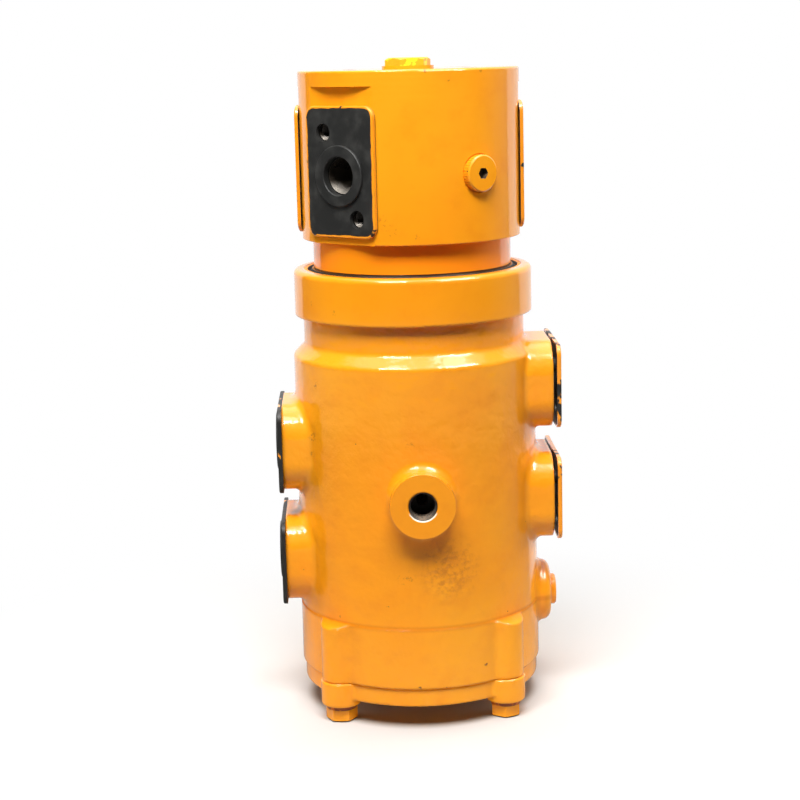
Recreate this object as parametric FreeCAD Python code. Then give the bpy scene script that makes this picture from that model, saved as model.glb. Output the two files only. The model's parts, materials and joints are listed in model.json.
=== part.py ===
import FreeCAD, Part
import math
import os

V = FreeCAD.Vector
os.makedirs("parts", exist_ok=True)

# Frame: millimetres, +Z up along the axis of rotation, origin on that axis at the cover's bottom face.
# An azimuth is counted from the front (-Y) towards +X.

# Fits and clearances
running_gap = 0.06
bore_gap = 0.5
axial_gap = 0.1
seat_gap = 0.05
thread_gap = 0.05
loose_gap = 0.2
bolt_hole_gap = 0.5
thread_runout = 4.0

# Stem, bore and galleries
stem_radius = 54.5
bush_wall = 4.0
gallery_depth = 13.0
gallery_width = 18.0
small_gallery_depth = 7.0
small_gallery_width = 6.0
passage_overlap = 4.0
small_passage_overlap = 2.0
seal_groove_depth = 4.5
seal_groove_width = 4.2
slipper_thickness = 2.2
lower_bush_height = 10.5
upper_bush_height = 24.0
upper_bush_drop = 36.4

# Lands between the bore's end galleries and the bushes, wide enough for a seal each
lower_land = 7.5
upper_land = 14.0

# Stem retainer in the cavity under the stem
cavity_step = 11.0
cavity_floor_gap = 4.1
retainer_thickness = 10.0
retainer_gap = 2.0
thrust_washer_thickness = 3.0
retainer_bolt_radius = 4.0
retainer_bolt_inset = 8.5
retainer_bolt_reach = 16.0
retainer_bolt_head_width = 13.0
retainer_bolt_head_height = 5.3

# Hexagon heads
hexagon_face_share = 0.95
hexagon_slope = 30

# Bottom cover and its bolts
cover_thickness = 13.0
cover_inset = 1.8
cover_edge_round = 1.5
seam_round = 1.2
seam_chamfer = 0.8
cover_lug_round = 1.8
cover_lug_reach = 1.0
cover_lug_drop = 4.5
cover_spigot_height = 5.0
cover_spigot_wall = 6.0
cover_ring_section = 1.05
cover_ring_gap = 0.1
cover_ring_play = 0.25
bolt_inset = 4.5
bolt_azimuths = [-46, 44, 134, 224]
bolt_turns = [-4, 26, 12, 40]
bolt_radius = 6.0
bolt_head_width = 19.0
bolt_head_height = 8.4
bolt_reach = 20.0
spring_washer_thickness = 3.0
spring_washer_width = 4.2
spring_washer_split = 2.0
spring_washer_slant = 30

# Housing casting
body_wall = 17.4
foot_step = 0.6
foot_gap = 6.6
lug_radius = 13.0
lug_flare = 6.0
lug_slope = 3.5
lug_round = 2.5
neck_wall = 8.0
neck_height = 20.0
shoulder_height = 8.0
shoulder_round = 4.0
ring_wall = 7.3
ring_height = 32.4
ring_edge = 0.8
ring_top_round = 3.5
first_port_height = 80.0
port_pitch = 40.0

# The body's ports from the lowest up, and the sides of the head that the same galleries serve
body_port_azimuths = {"left_lower": -90, "right_lower": 90, "left_upper": -90, "right_upper": 90}
gallery_sides = ["left", "front", "rear", "right"]

# Flanged ports, the same on the body and on the head
port_bore_radius = 12.0
port_bore_depth = 25.0
port_passage_radius = 9.0
flange_bolt_long = 57.15
flange_bolt_short = 27.76
flange_tap_radius = 5.1
flange_tap_depth = 20.0

# Body port bosses
boss_stand = 9.0
boss_width = 84.0
boss_height = 61.0
boss_corner = 22.0
boss_fillet = 6.0
fillet_margin = 0.5

# Front drain boss
drain_stand = 13.6
drain_boss_radius = 22.0
drain_port_drop = 7.5
drain_thread_radius = 9.3
drain_thread_depth = 18.0
drain_mouth = 1.3
drain_passage_radius = 4.0
drain_passage_start = 3.0
drain_boss_fillet = 6.0

# Small pilot boss on the right, and its plug
pilot_boss_radius = 22.0
pilot_boss_round = 6.0
pilot_passage_radius = 4.0
pilot_boss_fillet = 4.5
plug_thread_radius = 8.25
plug_thread_depth = 16.0
pilot_plug_radius = 11.0
pilot_plug_height = 3.0
pilot_plug_chamfer = 0.8
pilot_washer_thickness = 1.2

# Spindle head and neck
neck_step = 14.7
neck_edge = 0.8
stem_edge = 1.0
head_overhang = 7.3
head_height = 115.0
head_edge = 1.5
head_lower_edge = 1.0
head_gap = 21.0
head_port_height = 46.0
head_flat_depth = 4.9
head_flat_margin = 12.35

# Channels along the stem
channel_cover = 18.5
channel_radius = 10.5
pilot_channel_radius = 4.5
drain_channel_radius = 6.0
channel_plug_length = 12.0
channel_plug_wall = 1.5

# Azimuths on the head, counted from its own front, and the turn at which the head stands
head_turn = -3.0
head_port_azimuths = {"front": -38.0, "right": 100.3, "rear": 180.0, "left": -100.3}
head_plug_azimuth = 37.8

# Tapped holes in the head's top, for the arm that turns the head
top_hole_inset = 20.0
top_hole_azimuths = [45, 135, 225, 315]
top_hole_radius = 5.1
top_hole_depth = 20.0

# Dust seal
dust_seal_width = 7.0
dust_seal_height = 8.0
dust_seal_sink = 0.3
dust_seal_gap = 0.3
dust_seal_lip = 1.2
dust_seal_lip_rise = 0.4
dust_seal_relief = 1.5
dust_seal_rim = 2.4
dust_seal_valley = 4.0
dust_seal_valley_round = 0.8
dust_seal_edge = 0.3

# Knurled plug on the head
head_plug_radius = 12.4
head_plug_height = 6.0
head_plug_chamfer = 1.0
plug_socket_width = 7.0
plug_socket_depth = 4.5
knurl_count = 40
knurl_depth = 0.4
spot_gap = 0.8
spot_depth = 1.6
plug_ring_section = 0.7
plug_ring_gap = 0.1
plug_ring_play = 0.02

# Yellow plug in the head's top
top_plug_thread_radius = 12.0
top_plug_thread_depth = 16.0
top_plug_width = 28.0
top_plug_height = 5.5
top_plug_turn = 11
top_washer_radius = 18.0
top_washer_thickness = 2.0

# Rubber port guards
guard_width = 59.0
guard_length = 87.5
guard_thickness = 3.0
guard_corner = 8.0
guard_edge = 1.0
guard_disc_radius = 20.4
guard_disc_height = 2.0
guard_disc_edge = 0.8
guard_shift = 2.5
guard_bore_gap = 0.8
guard_hole_gap = 0.9
guard_peg_length = 8.0
guard_lift = 0.1
loose_guard_lift = 2.6

# How near a point has to be to count as on a plane, or on a curve
exact = 1e-6
close_by = 2e-3

# Radii worked out from the sizes above, from the axis outward
bore_radius = stem_radius + bore_gap
bush_radius = stem_radius + running_gap + bush_wall
seal_groove_radius = bore_radius + seal_groove_depth
small_gallery_radius = bore_radius + small_gallery_depth
gallery_radius = bore_radius + gallery_depth
cavity_radius = bore_radius + cavity_step
retainer_radius = cavity_radius - retainer_gap
retainer_bolt_circle = stem_radius - retainer_bolt_inset
channel_circle_radius = stem_radius - channel_cover
spindle_neck_radius = stem_radius + neck_step
spindle_bore_radius = spindle_neck_radius + bore_gap
dust_seal_radius = spindle_neck_radius + dust_seal_width
head_radius = spindle_neck_radius + head_overhang
head_flat_distance = head_radius - head_flat_depth
top_hole_circle_radius = head_radius - top_hole_inset
neck_radius = spindle_bore_radius + neck_wall
ring_radius = dust_seal_radius + ring_wall
body_radius = gallery_radius + body_wall
foot_radius = body_radius + foot_step
cover_radius = foot_radius - cover_inset
cover_lug_radius = lug_radius + cover_lug_reach
bolt_circle_radius = foot_radius - bolt_inset
boss_face = body_radius + boss_stand
drain_face = body_radius + drain_stand
spot_radius = head_plug_radius + spot_gap
guard_hole_radius = flange_tap_radius + guard_hole_gap

# Heights worked out from the sizes above, from the cover upward
lug_bottom_z = -cover_lug_drop
seam_z = cover_thickness
stem_bottom_z = seam_z + cavity_floor_gap + retainer_bolt_head_height + retainer_thickness
cavity_top_z = stem_bottom_z + thrust_washer_thickness + axial_gap
lower_bush_top_z = cavity_top_z + lower_bush_height
pilot_z = lower_bush_top_z + lower_land + small_gallery_width / 2
port_z = [seam_z + first_port_height + i * port_pitch for i in range(len(body_port_azimuths))]
foot_top_z = port_z[0] - boss_height / 2 - foot_gap
drain_gallery_z = (port_z[1] + port_z[2]) / 2
drain_port_z = drain_gallery_z - drain_port_drop
upper_bush_bottom_z = port_z[-1] + gallery_width / 2 + upper_land
upper_shoulder_z = upper_bush_bottom_z + upper_bush_height
neck_bottom_z = upper_shoulder_z + thrust_washer_thickness + axial_gap
ring_top_z = upper_shoulder_z + upper_bush_drop
ring_bottom_z = ring_top_z - ring_height
shoulder_top_z = ring_bottom_z - neck_height
shoulder_bottom_z = shoulder_top_z - shoulder_height
head_bottom_z = ring_top_z + head_gap
head_port_z = head_bottom_z + head_port_height
head_flat_height = head_port_height + guard_shift + guard_length / 2 + head_flat_margin
head_top_z = head_bottom_z + head_height

# The plug's O-ring lies in a 45 degree countersink just wide enough for it
plug_ring_offset = plug_ring_section + plug_ring_gap
plug_ring_countersink = 2 * plug_ring_offset + math.sqrt(2) * (plug_ring_section + plug_ring_play)

# The corner fillets of two bosses on one side stay apart, and clear of the foot
boss_fillet_room = min(port_pitch - boss_height / 2, foot_gap) - fillet_margin

# The stretches of the bore that stay full of oil, from the bottom up: (centre height, width, outer radius)
galleries = [(pilot_z, small_gallery_width, small_gallery_radius)]
galleries += [(z, gallery_width, gallery_radius) for z in port_z[:2]]
galleries += [(drain_gallery_z, small_gallery_width, small_gallery_radius)]
galleries += [(z, gallery_width, gallery_radius) for z in port_z[2:]]

# A seal sits halfway between each gallery and the next, and between the end galleries and the bushes.
gallery_edges = [lower_bush_top_z]
for centre, width, outer in galleries:
    gallery_edges += [centre - width / 2, centre + width / 2]
gallery_edges += [upper_bush_bottom_z]
seal_z = [(gallery_edges[i] + gallery_edges[i + 1]) / 2 for i in range(0, len(gallery_edges), 2)]

# Each body port as (name, azimuth, height), and the azimuth of each channel and of the head's plug
body_ports = [(name, body_port_azimuths[name], z) for name, z in zip(body_port_azimuths, port_z)]
channel_azimuths = {side: azimuth + head_turn for side, azimuth in head_port_azimuths.items()}
plug_azimuth = head_plug_azimuth + head_turn

# Corners of a flange's bolt rectangle: all, those left open by a guard and those filled by its pegs
ALL_CORNERS = [(-1, -1), (1, -1), (1, 1), (-1, 1)]
OPEN_CORNERS = [(-1, 1), (1, -1)]
PEG_CORNERS = [(-1, -1), (1, 1)]


# Basic shapes

def rod(radius, z0, z1, x=0.0, y=0.0):
    # Upright cylinder from z0 to z1.
    return Part.makeCylinder(radius, z1 - z0, V(x, y, z0))


def tube(outer, inner, z0, z1, x=0.0, y=0.0):
    # Upright ring from z0 to z1.
    return rod(outer, z0, z1, x, y).cut(rod(inner, z0, z1, x, y))


def spun(shape, azimuth):
    # The shape, made at the front, turned to an azimuth.
    turned = shape.copy()
    turned.rotate(V(0, 0, 0), V(0, 0, 1), azimuth)
    return turned


def lifted(shape, z):
    # The shape moved up by z.
    moved = shape.copy()
    moved.translate(V(0, 0, z))
    return moved


def drilled(radius, face, depth, x=0.0, z=0.0):
    # Cylinder that enters the front face at distance face from the axis and runs inward.
    return Part.makeCylinder(radius, depth, V(x, -face, z), V(0, 1, 0))


def mouth(radius, size, face, z=0.0):
    # Countersink of a front hole.
    return Part.makeCone(radius + size, radius, size, V(0, -face, z), V(0, 1, 0))


def rounded_wire(corners, place):
    # Closed outline of straight runs, with an arc at each corner (u, v, radius) that has a radius.
    ends = []
    edges = []
    count = len(corners)
    for i, (u, v, radius) in enumerate(corners):
        here = V(u, v, 0)
        back = V(corners[i - 1][0], corners[i - 1][1], 0) - here
        ahead = V(corners[(i + 1) % count][0], corners[(i + 1) % count][1], 0) - here
        back.normalize()
        ahead.normalize()
        if radius <= 0:
            ends.append((here, here))
            continue
        half = back.getAngle(ahead) / 2
        reach = radius / math.tan(half)
        inward = back + ahead
        inward.normalize()
        middle = here + inward * (radius / math.sin(half) - radius)
        start = here + back * reach
        end = here + ahead * reach
        edges.append(Part.Arc(place(start), place(middle), place(end)).toShape())
        ends.append((start, end))
    for i in range(count):
        leave = ends[i][1]
        arrive = ends[(i + 1) % count][0]
        if leave.distanceToPoint(arrive) > exact:
            edges.append(Part.LineSegment(place(leave), place(arrive)).toShape())
    return Part.Wire(Part.__sortEdges__(edges))


def turned_solid(corners):
    # Lathe shape from an outline of (radius, height, corner radius).
    outline = rounded_wire(corners, lambda p: V(p.x, 0, p.y))
    return Part.Face(outline).revolve(V(0, 0, 0), V(0, 0, 1), 360)


def block_with_round_corners(width, height, corner, face, depth, shift=0.0):
    # Rectangle in the front plane, drawn inward by depth. shift raises its centre.
    low = shift - height / 2
    high = shift + height / 2
    corners = [(-width / 2, low, corner), (width / 2, low, corner),
               (width / 2, high, corner), (-width / 2, high, corner)]
    outline = rounded_wire(corners, lambda p: V(p.x, -face, p.y))
    return Part.Face(outline).extrude(V(0, depth, 0))


def hexagon(width, z0, z1):
    # Upright hexagonal prism, width across flats.
    points = []
    for i in range(7):
        angle = math.radians(60 * i)
        reach = width / math.sqrt(3)
        points.append(V(reach * math.cos(angle), reach * math.sin(angle), z0))
    return Part.Face(Part.makePolygon(points)).extrude(V(0, 0, z1 - z0))


def hexagon_head(width, z_seat, height, top_sign):
    # Hexagon head with its corners turned off at the end away from the seat.
    corner = width / math.sqrt(3)
    face = width / 2 * hexagon_face_share
    slope = (corner - face) * math.tan(math.radians(hexagon_slope))
    outline = [(0, 0, 0), (corner, 0, 0), (corner, height - slope, 0), (face, height, 0), (0, height, 0)]
    head = hexagon(width, 0, height).common(turned_solid(outline))
    if top_sign < 0:
        head = head.mirror(V(0, 0, 0), V(0, 0, 1))
    return lifted(head, z_seat)


def torus(ring, section, z):
    # Round cord bent into a ring.
    return Part.makeTorus(ring, section, V(0, 0, z))


def bolt_places(azimuths, radius):
    # Points on a circle.
    return [(radius * math.sin(math.radians(a)), -radius * math.cos(math.radians(a))) for a in azimuths]


def at_each(shape, places, turns=None):
    # Copies of an upright shape, one at each place, each turned about its own axis where turns are given.
    copies = []
    for i, (x, y) in enumerate(places):
        copy = spun(shape, turns[i]) if turns else shape.copy()
        copy.translate(V(x, y, 0))
        copies.append(copy)
    return copies


def joined(shapes):
    # One solid from overlapping shapes.
    return shapes[0].multiFuse(shapes[1:]).removeSplitter()


def flange_holes(face, depth, radius, corners):
    # Holes of a four-bolt flange at the front, long side upright.
    across = flange_bolt_short / 2
    up = flange_bolt_long / 2
    return [drilled(radius, face, depth, side * across, level * up) for side, level in corners]


cover_bolt_places = bolt_places(bolt_azimuths, bolt_circle_radius)


def laid_over(shape):
    # A front shape turned a quarter about the line that looks at it, so its long side lies level.
    turned = shape.copy()
    turned.rotate(V(0, 0, 0), V(0, 1, 0), 90)
    return turned


def port_cuts(face, inner_reach):
    # Bore, passage and four tapped holes of one flanged port at the front, at height 0.
    cuts = [drilled(port_bore_radius, face, port_bore_depth),
            drilled(port_passage_radius, face, face - inner_reach)]
    return cuts + flange_holes(face, flange_tap_depth, flange_tap_radius, ALL_CORNERS)


# The fixed side

def lug_plan(radius, lug, z0, z1, flare):
    # Disc with four lugs, extruded, its inner corners filled by a flare.
    shape = joined([rod(radius, z0, z1)] + at_each(rod(lug, z0, z1), cover_bolt_places))
    upright = [edge for edge in shape.Edges if is_lug_corner(edge, radius, z1 - z0)]
    return shape.makeFillet(flare, upright)


def is_lug_corner(edge, radius, height):
    # True for an upright edge where a lug meets the disc.
    x, y, z = edge.CenterOfMass
    is_straight = edge.Curve.TypeId == "Part::GeomLine"
    near_lug = min(math.hypot(x - px, y - py) for px, py in cover_bolt_places)
    on_disc = abs(math.hypot(x, y) - radius) < close_by
    return is_straight and on_disc and near_lug < 2 * lug_radius and abs(edge.Length - height) < exact


def foot():
    # Lower end of the casting, with lugs that slope into the wall.
    plan = lug_plan(foot_radius, lug_radius, seam_z, foot_top_z, lug_flare)
    plan = plan.makeChamfer(seam_chamfer, edges_where(plan, on_seam))
    lug_reach = bolt_circle_radius + lug_radius + foot_step
    slope_start = foot_top_z - lug_slope
    envelope = turned_solid([(0, seam_z, 0), (lug_reach, seam_z, 0), (lug_reach, slope_start, lug_round),
                             (body_radius - foot_step, foot_top_z, 0), (0, foot_top_z, 0)])
    return plan.common(envelope)


def wall():
    # Turned outside of the casting from the seam to the ring flange's top.
    return turned_solid([
        (0, seam_z, 0), (body_radius, seam_z, 0), (body_radius, shoulder_bottom_z, shoulder_round),
        (neck_radius, shoulder_top_z, shoulder_round), (neck_radius, ring_bottom_z, 0),
        (ring_radius, ring_bottom_z, ring_edge), (ring_radius, ring_top_z, ring_top_round),
        (0, ring_top_z, 0)])


def outside():
    # Outer form of the casting with all its bosses.
    block = block_with_round_corners(boss_width, boss_height, boss_corner, boss_face, boss_face - bore_radius)
    bosses = [lifted(spun(block, azimuth), z) for name, azimuth, z in body_ports]
    drain = drilled(drain_boss_radius, drain_face, drain_face - bore_radius, 0, drain_port_z)
    pilot = drilled(pilot_boss_radius, boss_face, boss_face - bore_radius)
    pilot = pilot.makeFillet(pilot_boss_round, front_edges(pilot, boss_face))
    pilot = lifted(spun(pilot, 90), pilot_z)
    shape = joined([wall(), drain, pilot] + bosses)
    for name, azimuth, z in body_ports:
        edges = edges_where(shape, lambda point: at_port_boss(point, azimuth, z))
        shape = shape.makeFillet(boss_fillet_at(z), edges)
    shape = shape.makeFillet(drain_boss_fillet, edges_where(shape, at_drain_boss))
    shape = shape.makeFillet(pilot_boss_fillet, edges_where(shape, at_pilot_boss))
    return joined([shape, foot()])


def edges_where(shape, test):
    # Edges that pass the test at five points.
    found = []
    for edge in shape.Edges:
        first, last = edge.ParameterRange
        points = [edge.valueAt(first + (last - first) * i / 4) for i in range(5)]
        if all(test(p) for p in points):
            found.append(edge)
    return found


def on_wall(point):
    # True on or inside the casting's wall, where a boss meets it.
    return math.hypot(point.x, point.y) < body_radius + seat_gap


def at_port_boss(point, azimuth, z):
    # True where the side of the port boss at that place meets the wall.
    across = abs(point.y) - (boss_width / 2 - boss_corner)
    up = abs(point.z - z) - (boss_height / 2 - boss_corner)
    outline = math.hypot(max(across, 0), max(up, 0)) + min(max(across, up), 0) - boss_corner
    return abs(outline) < close_by and point.x * azimuth > 0 and on_wall(point)


def boss_fillet_at(z):
    # Fillet of the port boss at height z, no larger than the shoulder's round where it runs into that.
    clear = z + boss_height / 2 + boss_fillet < shoulder_bottom_z
    return min(boss_fillet if clear else shoulder_round, boss_fillet_room)


def at_drain_boss(point):
    # True where the front boss meets the wall.
    off = math.hypot(point.x, point.z - drain_port_z) - drain_boss_radius
    return abs(off) < close_by and point.y < 0 and on_wall(point)


def at_pilot_boss(point):
    # True where the small boss on the right meets the wall.
    off = math.hypot(point.y, point.z - pilot_z) - pilot_boss_radius
    return abs(off) < close_by and point.x > 0 and on_wall(point)


def housing():
    shape = outside()
    cuts = [rod(cavity_radius, seam_z, cavity_top_z), rod(bore_radius, seam_z, ring_top_z),
            rod(bush_radius, cavity_top_z, lower_bush_top_z),
            rod(bush_radius, upper_bush_bottom_z, upper_shoulder_z),
            rod(spindle_bore_radius, upper_shoulder_z, ring_top_z),
            rod(dust_seal_radius, ring_top_z - dust_seal_height - dust_seal_sink, ring_top_z)]
    cuts += [rod(outer, z - width / 2, z + width / 2) for z, width, outer in galleries]
    cuts += [rod(seal_groove_radius, z - seal_groove_width / 2, z + seal_groove_width / 2) for z in seal_z]
    for name, azimuth, z in body_ports:
        for cut in port_cuts(boss_face, gallery_radius - passage_overlap):
            cuts.append(lifted(spun(laid_over(cut), azimuth), z))
    cuts += [drilled(drain_thread_radius, drain_face, drain_thread_depth, 0, drain_port_z),
             mouth(drain_thread_radius, drain_mouth, drain_face, drain_port_z), drain_passage()]
    pilot_depth = boss_face - small_gallery_radius + small_passage_overlap
    cuts += [spun(drilled(plug_thread_radius, boss_face, plug_thread_depth, 0, pilot_z), 90),
             spun(drilled(pilot_passage_radius, boss_face, pilot_depth, 0, pilot_z), 90)]
    hole_top = seam_z + bolt_reach + thread_runout
    cuts += at_each(rod(bolt_radius + thread_gap, seam_z, hole_top), cover_bolt_places)
    return shape.cut(Part.makeCompound(cuts))


def drain_passage():
    # Sloping hole from the bottom of the drain thread to the drain gallery.
    start = V(0, -(drain_face - drain_thread_depth + drain_passage_start), drain_port_z)
    end = V(0, -(small_gallery_radius - small_passage_overlap), drain_gallery_z)
    run = end - start
    return Part.makeCylinder(drain_passage_radius, run.Length, start, run)


def bottom_cover():
    plate = lug_plan(cover_radius, cover_lug_radius, 0, seam_z, lug_flare)
    plate = plate.makeFillet(cover_edge_round, edges_where(plate, on_floor))
    plate = plate.makeFillet(seam_round, edges_where(plate, on_seam))
    boss = rod(cover_lug_radius, lug_bottom_z, seam_z - cover_spigot_height)
    boss = boss.makeFillet(cover_lug_round, edges_where(boss, on_lug_bottom))
    bosses = at_each(boss, cover_bolt_places)
    spigot_radius = cavity_radius - loose_gap
    spigot_top = seam_z + cover_spigot_height
    spigot = tube(spigot_radius, spigot_radius - cover_spigot_wall, seam_z - cover_spigot_height, spigot_top)
    shape = joined([plate, spigot] + bosses)
    holes = at_each(rod(bolt_radius + bolt_hole_gap, lug_bottom_z, seam_z), cover_bolt_places)
    return shape.cut(Part.makeCompound(holes + [o_ring_groove()]))


def on_floor(point):
    # True at the height of the cover's bottom face.
    return abs(point.z) < exact


def on_seam(point):
    # True at the height where the cover meets the casting.
    return abs(point.z - seam_z) < exact


def on_lug_bottom(point):
    # True at the height of the lugs' bottom faces.
    return abs(point.z - lug_bottom_z) < exact


def o_ring_groove():
    # Groove round the cover's spigot.
    z = seam_z + cover_spigot_height / 2
    half = cover_ring_section + cover_ring_play
    depth = 2 * cover_ring_section + cover_ring_gap
    return tube(cavity_radius, cavity_radius - depth, z - half, z + half)


def cover_o_ring():
    ring = cavity_radius - cover_ring_gap - cover_ring_section
    return torus(ring, cover_ring_section, seam_z + cover_spigot_height / 2)


def cover_bolts():
    seat = lug_bottom_z - spring_washer_thickness
    shank = rod(bolt_radius, seat, seam_z + bolt_reach)
    bolt = shank.fuse(hexagon_head(bolt_head_width, seat, bolt_head_height, -1)).removeSplitter()
    return Part.makeCompound(at_each(bolt, cover_bolt_places, bolt_turns))


def cover_spring_washers():
    # Split rings, each cut through on a slant.
    z0 = lug_bottom_z - spring_washer_thickness
    inner = bolt_radius + loose_gap
    outer = inner + spring_washer_width
    ring = tube(outer, inner, z0, lug_bottom_z)
    slot = Part.makeBox(outer, spring_washer_split, 2 * outer, V(0, -spring_washer_split / 2, -outer))
    slot.rotate(V(0, 0, 0), V(1, 0, 0), spring_washer_slant)
    slot.translate(V(0, 0, z0 + spring_washer_thickness / 2))
    return Part.makeCompound(at_each(ring.cut(slot), cover_bolt_places))


def dust_seal():
    # Rubber ring with a rim, a valley and a lip that wipes the neck.
    bottom = ring_top_z - dust_seal_sink - dust_seal_height
    top = ring_top_z - dust_seal_sink
    inner = spindle_neck_radius + dust_seal_gap
    relieved = inner + dust_seal_relief
    outer = dust_seal_radius - seat_gap
    valley = (inner + dust_seal_lip + outer - dust_seal_rim) / 2
    valley_z = top - dust_seal_valley
    return turned_solid([
        (relieved, bottom, 0), (outer, bottom, 0), (outer, top, dust_seal_edge),
        (outer - dust_seal_rim, top, dust_seal_edge), (valley, valley_z, dust_seal_valley_round),
        (inner + dust_seal_lip, top + dust_seal_lip_rise, dust_seal_edge), (inner, top, 0),
        (relieved, valley_z, 0)])


def bush(z0, z1):
    return tube(bush_radius - seat_gap, stem_radius + running_gap, z0, z1)


def upper_thrust_washer():
    outer = spindle_bore_radius - loose_gap
    return tube(outer, bush_radius + bore_gap, upper_shoulder_z, upper_shoulder_z + thrust_washer_thickness)


def slipper_seals():
    half = seal_groove_width / 2 - axial_gap
    inner = stem_radius + running_gap
    return Part.makeCompound([tube(inner + slipper_thickness, inner, z - half, z + half) for z in seal_z])


def seal_energisers():
    inner = stem_radius + running_gap + slipper_thickness
    section = (seal_groove_radius - inner) / 2 - seat_gap
    return Part.makeCompound([torus(inner + section + seat_gap, section, z) for z in seal_z])


def guard():
    # Rubber plate on a flanged port at the front, seen from outside with its long side upright.
    face = guard_thickness
    disc_face = face + guard_disc_height
    plate = block_with_round_corners(guard_width, guard_length, guard_corner, face, face, guard_shift)
    plate = plate.makeFillet(guard_edge, front_edges(plate, face))
    disc = drilled(guard_disc_radius, disc_face, disc_face)
    disc = disc.cut(drilled(port_bore_radius + guard_bore_gap, disc_face, disc_face))
    disc = disc.makeFillet(guard_disc_edge, front_edges(disc, disc_face))
    pegs = flange_holes(face, face + guard_peg_length, flange_tap_radius - loose_gap, PEG_CORNERS)
    openings = flange_holes(face, face, guard_hole_radius, OPEN_CORNERS)
    openings.append(drilled(guard_disc_radius - guard_disc_edge, face, face))
    return joined([plate.cut(Part.makeCompound(openings)), disc] + pegs)


def front_edges(shape, face):
    # Edges that lie in the front plane at distance face from the axis.
    return edges_where(shape, lambda point: abs(point.y + face) < exact)


def guard_on(face, z, azimuth, lift, sideways):
    # The guard set on a port, its long side level if it lies sideways.
    shape = laid_over(guard()) if sideways else guard()
    shape.translate(V(0, -(face + lift), 0))
    return lifted(spun(shape, azimuth), z)


def socket_plug(radius, height, chamfer, shank_length):
    # Plug with a hexagon socket, standing on z = 0 with its shank below.
    shank_radius = plug_thread_radius - thread_gap
    head = turned_solid([(0, 0, 0), (radius, 0, 0), (radius, height - chamfer, 0),
                         (radius - chamfer, height, 0), (0, height, 0)])
    shank = rod(shank_radius, -shank_length, 0)
    plug = head.fuse(shank).removeSplitter()
    return plug.cut(hexagon(plug_socket_width, height - plug_socket_depth, height))


def facing_out(shape, face, z, azimuth):
    # An upright piece laid down so that its +Z points out of the front, then turned to its azimuth.
    laid = shape.copy()
    laid.rotate(V(0, 0, 0), V(1, 0, 0), 90)
    laid.translate(V(0, -face, 0))
    return lifted(spun(laid, azimuth), z)


def pilot_plug():
    length = plug_thread_depth - pilot_washer_thickness - thread_runout
    plug = socket_plug(pilot_plug_radius, pilot_plug_height, pilot_plug_chamfer, length)
    return facing_out(plug, boss_face + pilot_washer_thickness, pilot_z, 90)


def pilot_plug_washer():
    washer = tube(pilot_plug_radius, plug_thread_radius + loose_gap, 0, pilot_washer_thickness)
    return facing_out(washer, boss_face, pilot_z, 90)


# The turning side

def channel_place(azimuth):
    return bolt_places([azimuth], channel_circle_radius)[0]


def spindle():
    # Head, neck and stem in one piece with six drilled channels.
    body = turned_solid([
        (0, stem_bottom_z, 0), (stem_radius, stem_bottom_z, stem_edge), (stem_radius, neck_bottom_z, 0),
        (spindle_neck_radius, neck_bottom_z, neck_edge), (spindle_neck_radius, head_bottom_z, 0),
        (head_radius, head_bottom_z, head_lower_edge), (head_radius, head_top_z, head_edge),
        (0, head_top_z, 0)])
    return body.cut(Part.makeCompound(head_cuts() + channel_cuts()))


def head_cuts():
    cuts = []
    flat = Part.makeBox(2 * head_radius, 2 * head_flat_depth, head_flat_height,
                        V(-head_radius, -head_flat_distance - 2 * head_flat_depth, head_bottom_z))
    for azimuth in channel_azimuths.values():
        cuts.append(spun(flat, azimuth))
        for cut in port_cuts(head_flat_distance, channel_circle_radius):
            cuts.append(lifted(spun(cut, azimuth), head_port_z))
    spot = [drilled(spot_radius, head_radius, spot_depth),
            drilled(plug_thread_radius, head_radius, spot_depth + plug_thread_depth),
            mouth(plug_thread_radius, plug_ring_countersink, head_radius - spot_depth),
            drilled(pilot_passage_radius, head_radius, head_radius - channel_circle_radius)]
    cuts += [lifted(spun(cut, plug_azimuth), head_port_z) for cut in spot]
    top_places = bolt_places(top_hole_azimuths, top_hole_circle_radius)
    cuts += at_each(rod(top_hole_radius, head_top_z - top_hole_depth, head_top_z), top_places)
    cuts.append(rod(top_plug_thread_radius, head_top_z - top_plug_thread_depth, head_top_z))
    return cuts


def channel_cuts():
    # Upright channels, and the cross holes that open them to their galleries.
    cuts = [rod(drain_channel_radius, drain_gallery_z - drain_channel_radius, head_top_z),
            drilled(drain_passage_radius, stem_radius, stem_radius, 0, drain_gallery_z)]
    cross_depth = stem_radius - channel_circle_radius
    for side, gallery in zip(gallery_sides, port_z):
        cross = drilled(gallery_width / 2, stem_radius, cross_depth, 0, gallery)
        cuts.append(spun(cross, channel_azimuths[side]))
    cross = drilled(pilot_passage_radius, stem_radius, cross_depth, 0, pilot_z)
    cuts.append(spun(cross, plug_azimuth))
    for azimuth, radius in channel_sizes():
        x, y = channel_place(azimuth)
        cuts.append(rod(radius, stem_bottom_z, head_port_z, x, y))
        cuts.append(rod(radius + channel_plug_wall, stem_bottom_z, stem_bottom_z + channel_plug_length, x, y))
    bolt_hole_top = stem_bottom_z + retainer_bolt_reach + thread_runout
    bolt_hole = rod(retainer_bolt_radius + thread_gap, stem_bottom_z, bolt_hole_top)
    return cuts + at_each(bolt_hole, retainer_bolt_places())


def channel_sizes():
    # Azimuth and radius of each upright channel off the axis.
    sizes = [(azimuth, channel_radius) for azimuth in channel_azimuths.values()]
    return sizes + [(plug_azimuth, pilot_channel_radius)]


def channel_plugs():
    top = stem_bottom_z + channel_plug_length
    plugs = []
    for azimuth, radius in channel_sizes():
        x, y = channel_place(azimuth)
        plugs.append(rod(radius + channel_plug_wall - thread_gap, stem_bottom_z + axial_gap, top, x, y))
    return Part.makeCompound(plugs)


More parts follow.
